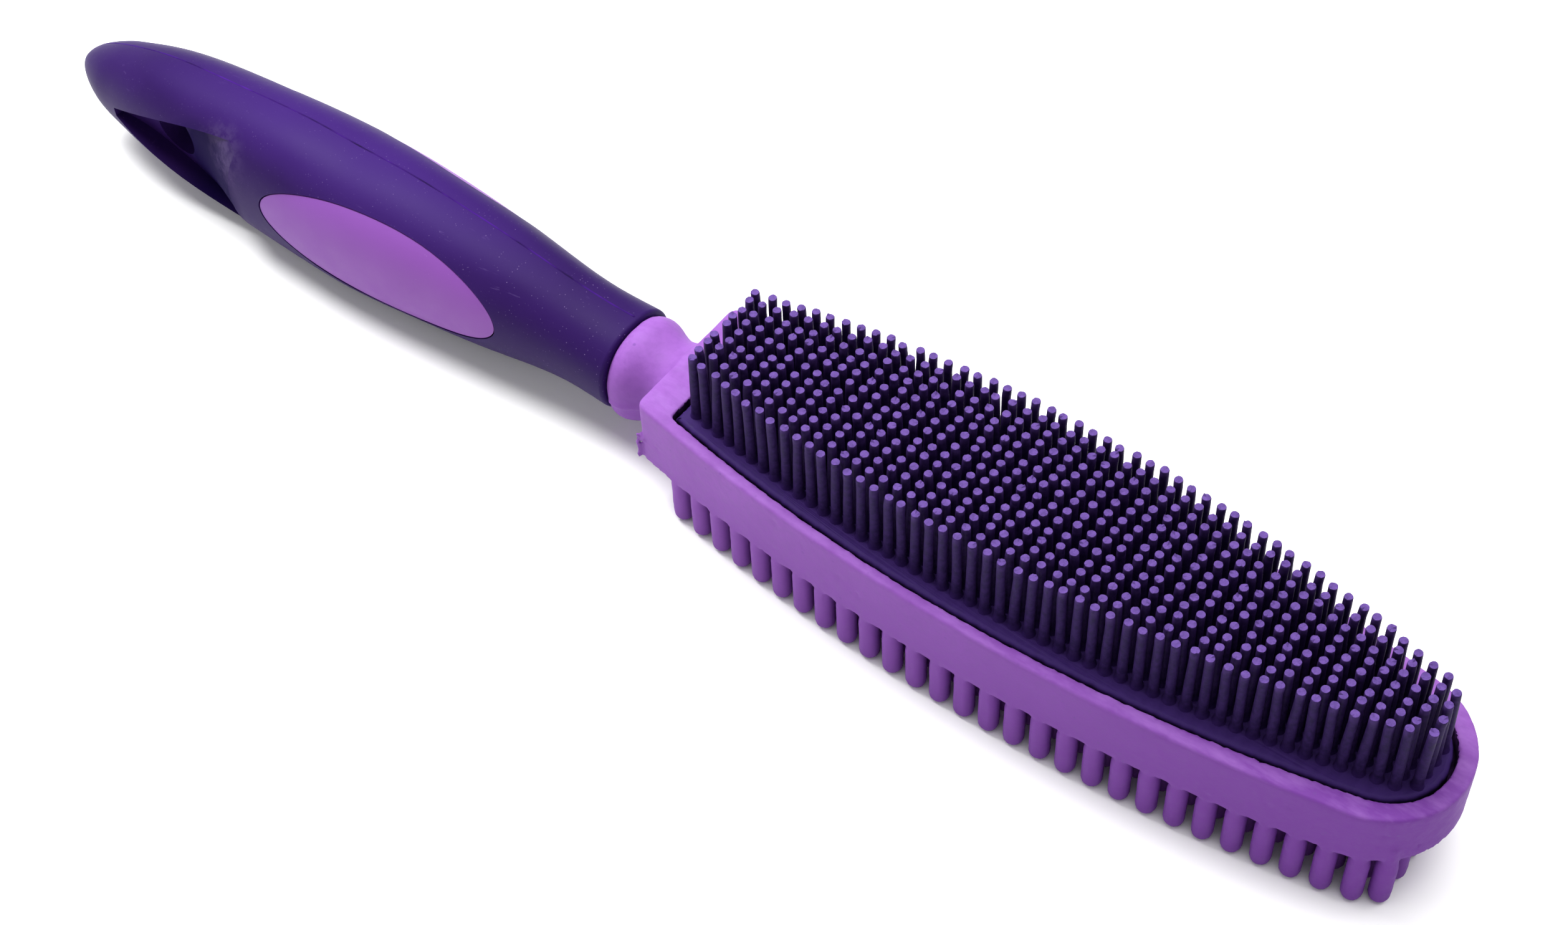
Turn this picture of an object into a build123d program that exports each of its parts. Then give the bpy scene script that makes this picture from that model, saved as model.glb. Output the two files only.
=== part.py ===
from build123d import *

import math
import os

# Double-sided rubber curry brush with a moulded handle.
#
# Millimetres. +X points from the handle to the tip of the head, +Y to the left
# and +Z up. The fine pins stand up and the thick pins hang down. The origin is on
# the surface the brush lies on, under the middle of its length. The brush rests on
# the ends of its thick pins and the belly of its grip.

# ---- Driving dimensions -----------------------------------------------------

# Lengthwise places
OVERALL_LENGTH = 289.6
HEAD_LENGTH = 143.1          # the straight rear edge of the frame to its tip
NECK_LENGTH = 11.2           # the end of the grip to the rear edge of the frame

# Heights above the surface
RIM_Z = 23.25                # flat top of the frame
FINE_PIN_TIP_Z = 37.55
GRIP_AXIS_Z = 14.15          # middle of the side recesses, the hole and the grip's nose

# Head frame
FRAME_HALF_WIDTH = 19.9
FRAME_BULGE_X = 68.1         # widest place, measured from the rear edge
FRAME_SIDE_RADIUS = 342.0
FRAME_CORNER_RADIUS = 2.0
FRAME_THICKNESS_REAR = 13.3
FRAME_THICKNESS_TIP = 11.0
FRAME_EDGE_ROUND = 0.5

# Pocket for the fine pin pad
POCKET_REAR_WALL = 6.6
POCKET_TIP_WALL = 2.9
POCKET_HALF_WIDTH = 17.9
POCKET_BULGE_X = 65.6
POCKET_SIDE_RADIUS = 295.0
POCKET_DEPTH = 4.0
PAD_CLEARANCE = 0.4
PAD_SUNK = 0.4

# Fine pins, in straight rows across the pad
FINE_PITCH = 2.6
FINE_ROW_PITCH = 2.27
FINE_FIRST_X = 9.6           # first row, measured from the rear edge
FINE_ROWS = 50
FINE_FIELD_HALF_WIDTH = 14.4
FINE_FIELD_SIDE_RADIUS = 271.0
FINE_FIELD_TIP_GAP = 5.3     # tip of the frame to the outermost pins
FINE_BASE_RADIUS = 0.84
FINE_TIP_RADIUS = 0.7
FINE_ROOT = 0.5              # how far the pins reach into the pad

# Thick pins, the outer ones flush with the wall of the frame
THICK_PITCH = 4.65
THICK_ROW_PITCH = 4.6
THICK_FIRST_X = 8.6          # first row, measured from the rear edge
THICK_ROWS = 29
THICK_LAST_STEP = 3.5        # the row at the tip stands closer to its neighbour
THICK_RADIUS = 1.5
THICK_ROOT = 1.0             # how far the pins reach above the underside of the blade

# Grip
SECTION_SQUARENESS = 2.25    # exponent of the superellipse
SLEEVE_WALL = 3.0
GRIP_END_ROUND = 0.7
OVAL_X = -59.9
OVAL_Z = 16.5
OVAL_HALF_LENGTH = 27.2
OVAL_HALF_HEIGHT = 9.35
OVAL_GAP = 0.25
OVAL_SUNK = 0.12
OVAL_THICKNESS = 2.0
RECESS_SPILL = 1.0           # the recess floor body is this much taller than the grip

# Hanging hole and the fan-shaped recess on each side of it
HOLE_X = -115.7
HOLE_RADIUS = 4.9
RECESS_START_X = -129.4
RECESS_START_HALF_HEIGHT = 1.0
RECESS_MIDDLE_HALF_HEIGHT = 6.2
RECESS_END_X = -93.4
RECESS_END_HALF_HEIGHT = 11.0
RECESS_END_HOLLOW = 2.0      # how far its end edge curves in
RECESS_FLOOR_HALF_WIDTH = 5.4  # at the hanging hole
HOLE_LINING = 2.2            # sleeve left between the recess or hole and the core
CORE_WAIST_RADIUS = 46.0

# Stiffening core
BLADE_THICKNESS = 3.0
BLADE_INSET = 4.5
BLADE_CORNER_RADIUS = 3.0
TANG_WIDTH = 10.0
TANG_TOP_Z = 18.45
TANG_UNDERSIDE_Z = 9.25
TANG_EDGE_ROUND = 2.0
TANG_LAP = 8.0               # how far it overlaps the bar, and its rib the blade
TANG_HEAD_LAP = 1.0          # how far it runs into the head
RIB_THICKNESS = 5.6          # where the tang runs on under the blade
RIB_START = 4.0
CORE_TIP_INSET = 4.5
CORE_END_INSET = 3.0

# ---- Worked out from the driving dimensions ----------------------------------

UP = (0, 0, 1)
CUT = 60.0                   # longer than the brush is wide or high
TIP_X = OVERALL_LENGTH / 2
HANDLE_END_X = -OVERALL_LENGTH / 2
REAR_X = TIP_X - HEAD_LENGTH
GRIP_END_X = REAR_X - NECK_LENGTH
GRIP_LENGTH = GRIP_END_X - HANDLE_END_X
POCKET_FLOOR_Z = RIM_Z - POCKET_DEPTH
PAD_TOP_Z = RIM_Z - PAD_SUNK
BLADE_Z = POCKET_FLOOR_Z - BLADE_THICKNESS

# Half width, top and underside of the grip, by distance from its rounded end
GRIP_STATIONS = [
    (5.0, 5.15, 18.9, 9.2),
    (10.0, 7.05, 21.1, 6.7),
    (17.0, 8.5, 23.4, 4.8),
    (26.0, 10.0, 25.5, 2.9),
    (36.0, 11.0, 26.75, 1.6),
    (47.0, 11.6, 27.85, 0.6),
    (57.0, 12.1, 28.7, 0.05),
    (68.0, 12.7, 28.8, 0.0),
    (81.0, 12.6, 28.75, 0.25),
    (96.0, 11.6, 27.75, 1.85),
    (109.0, 10.4, 26.1, 3.6),
    (121.0, 9.1, 24.2, 5.6),
    (129.0, 9.0, 23.3, 6.3),
    (GRIP_LENGTH, 9.2, 23.2, 6.0),
]
GRIP_NOSE = [0.05, 0.2, 0.5]  # more sections, as shares of the rounded end's length
NOSE_LEAST_LENGTH = 3.0      # drawn-in bodies leave out stations closer to their end

# How full the recess floor is against the grip's own width, by place along X
RECESS_FLOOR = [
    (-136.0, 1.04),
    (-129.4, 0.80),
    (-123.0, 0.56),
    (HOLE_X, 0.52),
    (-109.0, 0.57),
    (-102.0, 0.76),
    (-96.0, 0.93),
    (-90.0, 1.04),
]

# Half width, top and underside of the neck, by distance from the end of the grip
NECK_STATIONS = [
    (0.0, 8.1, 22.25, 5.3),
    (1.8, 8.8, 22.9, 4.9),
    (3.6, 8.6, 22.8, 5.2),
    (6.6, 7.2, 22.05, 6.2),
    (9.0, 7.0, 22.05, 6.6),
    (NECK_LENGTH, 8.2, 22.85, 7.9),
    (NECK_LENGTH + 4.0, 9.6, 23.05, 10.6),
]


def superellipse(x, half_width, top_z, low_z):
    """Closed cross-section in the plane at x."""
    points = []
    steps = 24
    power = 2 / SECTION_SQUARENESS
    half_height = (top_z - low_z) / 2
    axis_z = (top_z + low_z) / 2
    for step in range(steps):
        angle = 2 * math.pi * step / steps
        cosine = math.cos(angle)
        sine = math.sin(angle)
        y = half_width * math.copysign(abs(cosine) ** power, cosine)
        z = half_height * math.copysign(abs(sine) ** power, sine)
        points.append(Vector(x, y, axis_z + z))
    return Face(Wire([Edge.make_spline(points, periodic=True)]))


def grip_body(inset, end_inset, end_x):
    """The grip's outer shape, drawn in by inset, from its rounded end to end_x."""
    start_x = HANDLE_END_X + end_inset
    stations = [place for place in GRIP_STATIONS if place[0] > end_inset + NOSE_LEAST_LENGTH]
    first, first_width, first_top, first_low = stations[0]
    axis_z = (first_top + first_low) / 2
    half_height = (first_top - first_low) / 2
    nose_length = first - end_inset
    sections = [Vertex(start_x, 0, axis_z)]
    for share in GRIP_NOSE:
        fullness = math.sqrt(share)
        x = start_x + share * nose_length
        reach = (half_height - inset) * fullness
        sections.append(
            superellipse(x, (first_width - inset) * fullness, axis_z + reach, axis_z - reach)
        )
    for distance, half_width, top_z, low_z in stations[:-1]:
        x = HANDLE_END_X + distance
        sections.append(superellipse(x, half_width - inset, top_z - inset, low_z + inset))
    half_width, top_z, low_z = stations[-1][1:]
    sections.append(superellipse(end_x, half_width - inset, top_z - inset, low_z + inset))
    return loft(sections)


def grip_size(x):
    """Half width, top and underside of the grip at x, straight between its stations."""
    distance = min(max(x - HANDLE_END_X, GRIP_STATIONS[0][0]), GRIP_LENGTH)
    for near, far in zip(GRIP_STATIONS, GRIP_STATIONS[1:]):
        if distance <= far[0]:
            break
    share = (distance - near[0]) / (far[0] - near[0])
    return [a + share * (b - a) for a, b in zip(near[1:], far[1:])]


def tip_circle(tip, half_width, bulge, side_radius):
    """Radius and centre of the tip's arc, and where it meets the side arcs."""
    side_centre_y = half_width - side_radius
    reach = tip - (REAR_X + bulge)
    radius = (side_radius**2 - reach**2 - side_centre_y**2) / (2 * (side_radius - reach))
    lean = math.atan2(-side_centre_y, reach - radius)
    joint = (tip - radius + radius * math.cos(lean), radius * math.sin(lean))
    return radius, tip - radius, joint


def side_y(x, half_width, bulge, side_radius):
    """Half width of a side arc at x."""
    return half_width - side_radius + math.sqrt(side_radius**2 - (x - REAR_X - bulge) ** 2)


def outline(rear, tip, half_width, bulge, side_radius, corner_radius):
    """Leaf-shaped outline: straight rear edge, two long side arcs, round tip."""
    joint_x, joint_y = tip_circle(tip, half_width, bulge, side_radius)[2]
    rear_y = side_y(rear, half_width, bulge, side_radius)
    middle_x = REAR_X + bulge
    left = ThreePointArc((rear, rear_y), (middle_x, half_width), (joint_x, joint_y))
    nose = ThreePointArc((joint_x, joint_y), (tip, 0), (joint_x, -joint_y))
    right = ThreePointArc((joint_x, -joint_y), (middle_x, -half_width), (rear, -rear_y))
    back = Line((rear, -rear_y), (rear, rear_y))
    face = Face(Wire([left, nose, right, back]))
    if corner_radius:
        corners = face.vertices().sort_by(Axis.X)[:2]
        face = face.fillet_2d(corner_radius, corners)
    return face


def half_width_at(x, tip, half_width, bulge, side_radius):
    """Half width of a leaf-shaped outline at x."""
    radius, centre_x, joint = tip_circle(tip, half_width, bulge, side_radius)
    if x > joint[0]:
        return math.sqrt(max(0.0, radius**2 - (x - centre_x) ** 2))
    return side_y(x, half_width, bulge, side_radius)


def frame_half_width(x):
    return half_width_at(x, TIP_X, FRAME_HALF_WIDTH, FRAME_BULGE_X, FRAME_SIDE_RADIUS)


def fine_field_half_width(x):
    tip = TIP_X - FINE_FIELD_TIP_GAP
    return half_width_at(x, tip, FINE_FIELD_HALF_WIDTH, POCKET_BULGE_X, FINE_FIELD_SIDE_RADIUS)


def row_places(x, reach, pitch):
    """Pin centres of one row across the head, evenly spread between -reach and reach."""
    count = round(2 * reach / pitch) + 1
    if count < 2:
        return [(x, 0.0)]
    return [(x, reach * (2 * place / (count - 1) - 1)) for place in range(count)]


def fine_pin_places():
    places = []
    for row in range(FINE_ROWS):
        x = REAR_X + FINE_FIRST_X + row * FINE_PITCH
        places.extend(row_places(x, fine_field_half_width(x), FINE_ROW_PITCH))
    return places


def thick_pin_places():
    rows = [REAR_X + THICK_FIRST_X + row * THICK_PITCH for row in range(THICK_ROWS - 1)]
    rows.append(rows[-1] + THICK_LAST_STEP)
    places = []
    for x in rows:
        places.extend(row_places(x, frame_half_width(x) - THICK_RADIUS, THICK_ROW_PITCH))
    return places


def fine_pin(x, y):
    length = FINE_PIN_TIP_Z - PAD_TOP_Z + FINE_ROOT
    pin = Cone(FINE_BASE_RADIUS, FINE_TIP_RADIUS, length)
    return Pos(x, y, FINE_PIN_TIP_Z - length / 2) * pin


def thick_pin(x, y):
    """Round-ended pin, rooted inside the frame."""
    top_z = BLADE_Z - THICK_ROOT
    shank = Pos(x, y, (top_z + THICK_RADIUS) / 2) * Cylinder(THICK_RADIUS, top_z - THICK_RADIUS)
    return shank.fuse(Pos(x, y, THICK_RADIUS) * Sphere(THICK_RADIUS))


def oval_prism(gap):
    """Long oval seen from the side, as a prism right through the grip."""
    points = []
    steps = 32
    for step in range(steps):
        angle = 2 * math.pi * step / steps
        x = OVAL_X + (OVAL_HALF_LENGTH - gap) * math.cos(angle)
        z = OVAL_Z + (OVAL_HALF_HEIGHT - gap) * math.sin(angle)
        points.append(Vector(x, -CUT / 2, z))
    face = Face(Wire([Edge.make_spline(points, periodic=True)]))
    return extrude(face, amount=CUT, dir=(0, 1, 0))


def fan_prism():
    """Outline of the side recess, as a prism right through the grip."""

    def place(x, height):
        return Vector(x, -CUT / 2, GRIP_AXIS_Z + height)

    start = (RECESS_START_X, RECESS_START_HALF_HEIGHT)
    middle = (HOLE_X, RECESS_MIDDLE_HALF_HEIGHT)
    end = (RECESS_END_X, RECESS_END_HALF_HEIGHT)
    hollow = place(RECESS_END_X - RECESS_END_HOLLOW, 0)
    top = ThreePointArc(place(*start), place(*middle), place(*end))
    end_edge = ThreePointArc(place(*end), hollow, place(end[0], -end[1]))
    bottom = ThreePointArc(
        place(end[0], -end[1]), place(middle[0], -middle[1]), place(start[0], -start[1])
    )
    start_edge = Line(place(start[0], -start[1]), place(*start))
    face = Face(Wire([top, end_edge, bottom, start_edge]))
    return extrude(face, amount=CUT, dir=(0, 1, 0))


def recess_floor_body():
    """The grip pinched in across the hanging hole; its sides are the recess floors."""
    sections = []
    for x, fullness in RECESS_FLOOR:
        half_width, top_z, low_z = grip_size(x)
        sections.append(superellipse(x, half_width * fullness, top_z + RECESS_SPILL, low_z - RECESS_SPILL))
    return loft(sections)


def rounded_bar(start_x, end_x, low_z, top_z):
    """Straight bar along the brush with rounded long edges."""
    bar = Box(end_x - start_x, TANG_WIDTH, top_z - low_z)
    bar = fillet(bar.edges().filter_by(Axis.X), TANG_EDGE_ROUND)
    return Pos((start_x + end_x) / 2, 0, (low_z + top_z) / 2) * bar


# ---- Sub-parts ----------------------------------------------------------------


def core():
    """Stiff inner frame: a blade in the head, a tang in the neck, a bar in the grip."""
    blade_tip = TIP_X - POCKET_TIP_WALL - BLADE_INSET
    blade_half_width = POCKET_HALF_WIDTH - BLADE_INSET
    blade_rear = REAR_X + POCKET_REAR_WALL
    radius = POCKET_SIDE_RADIUS
    face = outline(
        blade_rear, blade_tip, blade_half_width, POCKET_BULGE_X, radius, BLADE_CORNER_RADIUS
    )
    blade = extrude(Pos(0, 0, BLADE_Z) * face, amount=BLADE_THICKNESS, dir=UP)
    tang = rounded_bar(GRIP_END_X - TANG_LAP, REAR_X + TANG_HEAD_LAP, TANG_UNDERSIDE_Z, TANG_TOP_Z)
    rib_low_z = POCKET_FLOOR_Z - RIB_THICKNESS
    rib = rounded_bar(REAR_X - RIB_START, blade_rear + TANG_LAP, rib_low_z, POCKET_FLOOR_Z)
    bar = grip_body(SLEEVE_WALL, CORE_TIP_INSET, GRIP_END_X - CORE_END_INSET)
    waist_y = RECESS_FLOOR_HALF_WIDTH - HOLE_LINING + CORE_WAIST_RADIUS
    for side in (-1, 1):
        bar = bar - Pos(HOLE_X, side * waist_y, GRIP_AXIS_Z) * Cylinder(CORE_WAIST_RADIUS, CUT)
    lined_hole = Rot(90, 0, 0) * Cylinder(HOLE_RADIUS + HOLE_LINING, CUT)
    bar = bar - Pos(HOLE_X, 0, GRIP_AXIS_Z) * lined_hole
    return bar.fuse(tang, rib, blade)


def grip_sleeve(core_solid):
    sleeve = grip_body(0.0, 0.0, GRIP_END_X)
    sleeve = fillet(sleeve.edges().sort_by(Axis.X)[-1], GRIP_END_ROUND)
    hole = Pos(HOLE_X, 0, GRIP_AXIS_Z) * Rot(90, 0, 0) * Cylinder(HOLE_RADIUS, CUT)
    sleeve = sleeve - hole - (fan_prism() - recess_floor_body())
    windows = oval_prism(0.0) - grip_body(OVAL_THICKNESS + OVAL_SUNK, SLEEVE_WALL, GRIP_END_X)
    return sleeve - windows - core_solid


def oval_inlay(side):
    """Hard oval plate set into one side of the grip."""
    outer = grip_body(OVAL_SUNK, SLEEVE_WALL, GRIP_END_X)
    inner = grip_body(OVAL_THICKNESS + OVAL_SUNK, SLEEVE_WALL, GRIP_END_X)
    half_space = Pos(OVAL_X, side * CUT / 2, GRIP_AXIS_Z) * Box(2 * CUT, CUT, 2 * CUT)
    return (oval_prism(OVAL_GAP) & outer & half_space) - inner


def head_frame(core_solid):
    """Soft moulding: neck, frame with its pocket, and the thick pins."""
    face = outline(
        REAR_X, TIP_X, FRAME_HALF_WIDTH, FRAME_BULGE_X, FRAME_SIDE_RADIUS, FRAME_CORNER_RADIUS
    )
    underside_z = RIM_Z - FRAME_THICKNESS_REAR
    body = extrude(Pos(0, 0, underside_z) * face, amount=FRAME_THICKNESS_REAR, dir=UP)
    drop = FRAME_THICKNESS_REAR - FRAME_THICKNESS_TIP
    slope = math.degrees(math.atan2(drop, HEAD_LENGTH))
    below = Pos(REAR_X, 0, underside_z) * Rot(0, -slope, 0)
    below = below * Pos(HEAD_LENGTH / 2, 0, -CUT / 2) * Box(2 * HEAD_LENGTH, CUT, CUT)
    body = body - below
    body = fillet(body.edges().group_by(Axis.Z)[-1], FRAME_EDGE_ROUND)
    neck = loft(
        [
            superellipse(GRIP_END_X + distance, half_width, top_z, low_z)
            for distance, half_width, top_z, low_z in NECK_STATIONS
        ]
    )
    pins = [thick_pin(x, y) for x, y in thick_pin_places()]
    body = body.fuse(neck, *pins)
    pocket_face = outline(
        REAR_X + POCKET_REAR_WALL,
        TIP_X - POCKET_TIP_WALL,
        POCKET_HALF_WIDTH,
        POCKET_BULGE_X,
        POCKET_SIDE_RADIUS,
        0,
    )
    pocket = extrude(Pos(0, 0, POCKET_FLOOR_Z) * pocket_face, amount=2 * POCKET_DEPTH, dir=UP)
    return body - pocket - core_solid


def fine_pin_pad():
    """Thin rubber pad with its fine pins, moulded in one."""
    face = outline(
        REAR_X + POCKET_REAR_WALL + PAD_CLEARANCE,
        TIP_X - POCKET_TIP_WALL - PAD_CLEARANCE,
        POCKET_HALF_WIDTH - PAD_CLEARANCE,
        POCKET_BULGE_X,
        POCKET_SIDE_RADIUS,
        0,
    )
    pad_thickness = PAD_TOP_Z - POCKET_FLOOR_Z
    pad = extrude(Pos(0, 0, POCKET_FLOOR_Z) * face, amount=pad_thickness, dir=UP)
    pins = [fine_pin(x, y) for x, y in fine_pin_places()]
    return pad.fuse(*pins)


def main():
    os.makedirs("parts", exist_ok=True)
    core_solid = core()
    nodes = {
        "stiffening_core": core_solid,
        "grip_sleeve": grip_sleeve(core_solid),
        "oval_inlay_left": oval_inlay(1),
        "oval_inlay_right": oval_inlay(-1),
        "head_frame": head_frame(core_solid),
        "fine_pin_pad": fine_pin_pad(),
    }
    for name, solid in nodes.items():
        export_step(solid, f"parts/{name}.step")


main()
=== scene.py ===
import math
import random

import bmesh
import bpy
import numpy as np
from mathutils import Matrix, Vector, noise
from mathutils.bvhtree import BVHTree


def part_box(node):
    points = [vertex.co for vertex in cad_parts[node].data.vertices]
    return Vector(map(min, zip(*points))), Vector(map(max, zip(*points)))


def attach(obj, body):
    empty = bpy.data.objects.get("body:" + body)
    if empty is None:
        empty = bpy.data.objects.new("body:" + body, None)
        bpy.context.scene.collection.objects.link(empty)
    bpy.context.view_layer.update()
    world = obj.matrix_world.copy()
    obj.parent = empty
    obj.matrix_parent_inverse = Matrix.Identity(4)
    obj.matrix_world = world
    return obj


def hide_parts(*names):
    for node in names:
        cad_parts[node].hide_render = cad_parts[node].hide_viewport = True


# Double-sided rubber curry brush. Metres, in the row frame: +X from the handle to
# the tip of the head, +Y to the left, +Z up along the fine pins. The brush lies on
# the surface at z = 0. Sizes below are in millimetres and turned into metres when a
# mesh is made.

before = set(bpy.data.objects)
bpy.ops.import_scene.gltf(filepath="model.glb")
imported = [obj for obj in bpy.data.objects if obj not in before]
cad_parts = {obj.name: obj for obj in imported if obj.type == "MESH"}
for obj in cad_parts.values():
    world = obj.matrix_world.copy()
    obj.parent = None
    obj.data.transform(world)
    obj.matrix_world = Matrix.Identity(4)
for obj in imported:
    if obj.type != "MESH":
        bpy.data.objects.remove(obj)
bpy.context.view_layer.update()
SEED = 7
MM = 0.001

# ---- Sizes in millimetres, as in the CAD model ----------------------------------

OVERALL_LENGTH = 289.6
HEAD_LENGTH = 143.1
NECK_LENGTH = 11.2
RIM_Z = 23.25
FINE_PIN_TIP_Z = 37.55
GRIP_AXIS_Z = 14.15
POCKET_REAR_WALL = 6.6
POCKET_TIP_WALL = 2.9
POCKET_HALF_WIDTH = 17.9
POCKET_BULGE_X = 65.6
POCKET_SIDE_RADIUS = 295.0
POCKET_DEPTH = 4.0
PAD_CLEARANCE = 0.4
PAD_SUNK = 0.4
FINE_PITCH = 2.6
FINE_ROW_PITCH = 2.27
FINE_FIRST_X = 9.6
FINE_ROWS = 50
FINE_FIELD_HALF_WIDTH = 14.4
FINE_FIELD_SIDE_RADIUS = 271.0
FINE_FIELD_TIP_GAP = 5.3

TIP_X = OVERALL_LENGTH / 2
REAR_X = TIP_X - HEAD_LENGTH
GRIP_END_X = REAR_X - NECK_LENGTH
PAD_TOP_Z = RIM_Z - PAD_SUNK

# ---- Node materials ------------------------------------------------------------

COLOUR_MIX_INPUTS = (0, 6, 7)      # a Mix node's factor and two colours
COLOUR_MIX_RESULT = 2
# Centre and reach, in millimetres, of the painted shade on the grip's recess slope.
RECESS_SLOPE = (-104.0, -7.0, 13.0)
RECESS_SLOPE_REACH = 12.0
SCUFF_PLACE = (-97.5, -8.5, 20.5)
SCUFF_REACH = 7.5


class Nodes:
    """A material with a short way to add and join nodes."""

    def __init__(self, name):
        self.material = bpy.data.materials.new(name)
        self.material.use_nodes = True
        self.tree = self.material.node_tree
        self.shader = self.tree.nodes["Principled BSDF"]
        self.place = self.add("ShaderNodeTexCoord").outputs["Object"]
        split = self.add("ShaderNodeSeparateXYZ")
        self.join(self.place, split.inputs["Vector"])
        self.x, self.y, self.z = split.outputs["X"], split.outputs["Y"], split.outputs["Z"]

    def add(self, kind, **settings):
        node = self.tree.nodes.new(kind)
        for key, value in settings.items():
            setattr(node, key, value)
        return node

    def join(self, source, target):
        self.tree.links.new(source, target)

    def give(self, value, socket):
        """Joins an output to the socket, or sets the socket to a number or colour."""
        if hasattr(value, "links"):
            self.join(value, socket)
        elif hasattr(value, "__len__") and socket.type == "RGBA":
            socket.default_value = (*value, 1)
        else:
            socket.default_value = value

    def stretched(self, scale):
        """The place, with each axis scaled on its own."""
        node = self.add("ShaderNodeMapping")
        self.join(self.place, node.inputs["Vector"])
        node.inputs["Scale"].default_value = scale
        return node.outputs["Vector"]

    def noise(self, scale, detail=2.0, roughness=0.5, place=None, distortion=0.0):
        node = self.add("ShaderNodeTexNoise")
        self.join(place or self.place, node.inputs["Vector"])
        node.inputs["Scale"].default_value = scale
        node.inputs["Detail"].default_value = detail
        node.inputs["Roughness"].default_value = roughness
        node.inputs["Distortion"].default_value = distortion
        return node.outputs["Fac"]

    def specks(self, scale, size):
        """Small dots, each with a strength of its own, and 0 outside them."""
        node = self.add("ShaderNodeTexVoronoi")
        self.join(self.place, node.inputs["Vector"])
        node.inputs["Scale"].default_value = scale
        dots = self.ramp(node.outputs["Distance"], [(size * 0.5, 1.0), (size, 0.0)])
        return self.math("MULTIPLY", dots, self.spread(node.outputs["Color"], 0.3, 0.75))

    def ramp(self, source, stops):
        """Ramp of greys or colours; stops are (place, value)."""
        node = self.add("ShaderNodeValToRGB")
        self.join(source, node.inputs["Fac"])
        ramp = node.color_ramp
        while len(ramp.elements) < len(stops):
            ramp.elements.new(0.5)
        for element, (position, value) in zip(ramp.elements, stops):
            element.position = position
            element.color = (*value, 1) if hasattr(value, "__len__") else (value, value, value, 1)
        return node.outputs["Color"]

    def spread(self, source, low, high, first=0.0, last=1.0):
        """Grey that goes from first to last while the source goes from low to high."""
        node = self.add("ShaderNodeMapRange", clamp=True)
        for socket, value in zip(node.inputs, (source, low, high, first, last)):
            self.give(value, socket)
        return node.outputs["Result"]

    def math(self, operation, first, second=0.0):
        node = self.add("ShaderNodeMath", operation=operation)
        for socket, value in zip(node.inputs, (first, second)):
            self.give(value, socket)
        return node.outputs["Value"]

    def mix(self, factor, first, second):
        """Colour between the first and the second."""
        node = self.add("ShaderNodeMix", data_type="RGBA")
        for place, value in zip(COLOUR_MIX_INPUTS, (factor, first, second)):
            self.give(value, node.inputs[place])
        return node.outputs[COLOUR_MIX_RESULT]

    def near(self, centre, reach):
        """1 at a point given in millimetres, 0 beyond its reach."""
        node = self.add("ShaderNodeVectorMath", operation="DISTANCE")
        self.join(self.place, node.inputs[0])
        node.inputs[1].default_value = Vector(centre) * MM
        return self.spread(node.outputs["Value"], 0.0, reach * MM, 1.0, 0.0)

    def bump(self, height, strength, distance, below=None):
        node = self.add("ShaderNodeBump")
        node.inputs["Strength"].default_value = strength
        node.inputs["Distance"].default_value = distance
        self.join(height, node.inputs["Height"])
        if below is not None:
            self.join(below, node.inputs["Normal"])
        return node.outputs["Normal"]

    def finish(self, colour, roughness, normal, specular):
        self.join(colour, self.shader.inputs["Base Color"])
        self.join(roughness, self.shader.inputs["Roughness"])
        self.join(normal, self.shader.inputs["Normal"])
        self.shader.inputs["Specular IOR Level"].default_value = specular
        return self.material


def lilac_rubber():
    """Head: mottled lilac, streaky on the rim, with painted shade low down and towards the tip."""
    n = Nodes("lilac_rubber")
    mottle = n.noise(700, 4, 0.62)
    cloud = n.noise(70, 3, 0.5)
    streaks = n.noise(260, 4, 0.65, n.stretched((0.35, 1.0, 1.0)))
    colour = n.mix(n.spread(cloud, 0.3, 0.7), (0.205, 0.074, 0.320), (0.235, 0.087, 0.365))
    colour = n.mix(n.spread(mottle, 0.36, 0.6, 0.35, 0.0), colour, (0.150, 0.051, 0.245))
    # Painted shade: the walls are darker low down, where less light reaches them.
    painted_low_shade = n.spread(n.z, 8 * MM, 22.5 * MM, 0.62, 0.0)
    colour = n.mix(painted_low_shade, colour, (0.155, 0.046, 0.265))
    # Painted shade: darker towards the tip and on the right side, where less light falls.
    tip_shade_side = n.spread(n.y, -4 * MM, 9 * MM, 1.0, 0.15)
    painted_tip_shade = n.math("MULTIPLY", n.spread(n.x, REAR_X * MM, TIP_X * MM, 0.0, 0.95), tip_shade_side)
    colour = n.mix(painted_tip_shade, colour, (0.128, 0.032, 0.240))
    on_rim = n.spread(n.z, (RIM_Z - 0.7) * MM, (RIM_Z - 0.1) * MM)
    pale = n.math("MULTIPLY", on_rim, n.spread(streaks, 0.42, 0.66, 0.0, 0.55))
    colour = n.mix(pale, colour, (0.27, 0.118, 0.415))
    specks = n.math("MULTIPLY", n.specks(380, 0.14), n.spread(cloud, 0.35, 0.6, 0.2, 0.8))
    colour = n.mix(specks, colour, (0.13, 0.05, 0.24))
    fine = n.bump(n.noise(2600, 3, 0.6), 0.25, 0.00006)
    roughness = n.spread(mottle, 0.3, 0.7, 0.52, 0.68)
    return n.finish(colour, roughness, n.bump(mottle, 0.4, 0.00012, fine), 0.1)


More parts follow.
